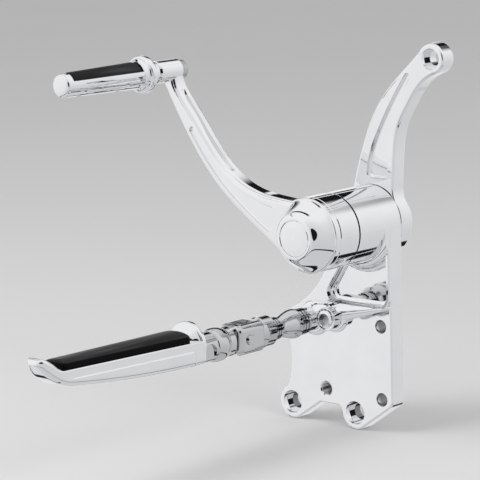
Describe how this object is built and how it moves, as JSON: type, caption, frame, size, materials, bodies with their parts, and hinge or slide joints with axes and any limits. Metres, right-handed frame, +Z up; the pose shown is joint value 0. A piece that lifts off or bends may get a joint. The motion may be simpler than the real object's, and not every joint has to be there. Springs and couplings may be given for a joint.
{
  "type": "motorcycle forward control",
  "caption": "Chromed left-hand motorcycle forward control: a bolt-on mounting plate with a pivoting shift lever, toe peg, linkage lever and folding footpeg.",
  "frame": {"origin": "midway between the axes of the frame bolt holes, on the flat face that meets the motorcycle", "axes": "+X to the rear of the motorcycle, +Y inboard towards the motorcycle, +Z up; the footpeg points along -Y"},
  "size_m": [0.1702, 0.2652, 0.2346],
  "materials": {
    "chrome": "polished chrome plate",
    "fasteners": "zinc-plated steel",
    "shaft_steel": "ground steel",
    "bronze": "sintered bronze",
    "rubber": "smooth satin black rubber"
  },
  "bodies": {
    "mounting_bracket": {"bracket": "chrome", "outer_bushing": "bronze", "inner_bushing": "bronze", "blanking_plug": "chrome", "footpeg_mount": "chrome", "footpeg_mount_bolt": "fasteners", "clevis_pin": "chrome", "clevis_pin_clip": "fasteners"},
    "shift_levers": {"shift_shaft": "shaft_steel", "shaft_keys": "shaft_steel", "shift_lever": "chrome", "hub_cap": "chrome", "hub_screw": "fasteners", "hub_screw_washer": "fasteners", "linkage_lever": "chrome", "linkage_lever_screw": "fasteners", "linkage_lever_washer": "fasteners", "toe_peg": "chrome", "toe_peg_rubber": "rubber", "toe_peg_rubber_screws": "fasteners", "toe_peg_spacer": "chrome", "toe_peg_bolt": "fasteners", "toe_peg_washer": "fasteners"},
    "footpeg": {"footpeg_stem": "chrome", "footpeg_tray": "chrome", "footpeg_rubber": "rubber", "footpeg_rubber_screws": "fasteners", "footpeg_stem_screw": "fasteners"}
  },
  "joints": [
    {"name": "lever_pivot", "type": "hinge", "parent": "mounting_bracket", "child": "shift_levers", "pos_m": [0.031, 0, 0.1164], "axis": [0, 1, 0], "range_deg": [-15, 15]},
    {"name": "footpeg_fold", "type": "hinge", "parent": "mounting_bracket", "child": "footpeg", "pos_m": [-0.005, -0.081, 0.0554], "axis": [-1, 0, 0], "range_deg": [0, 80]}
  ]
}
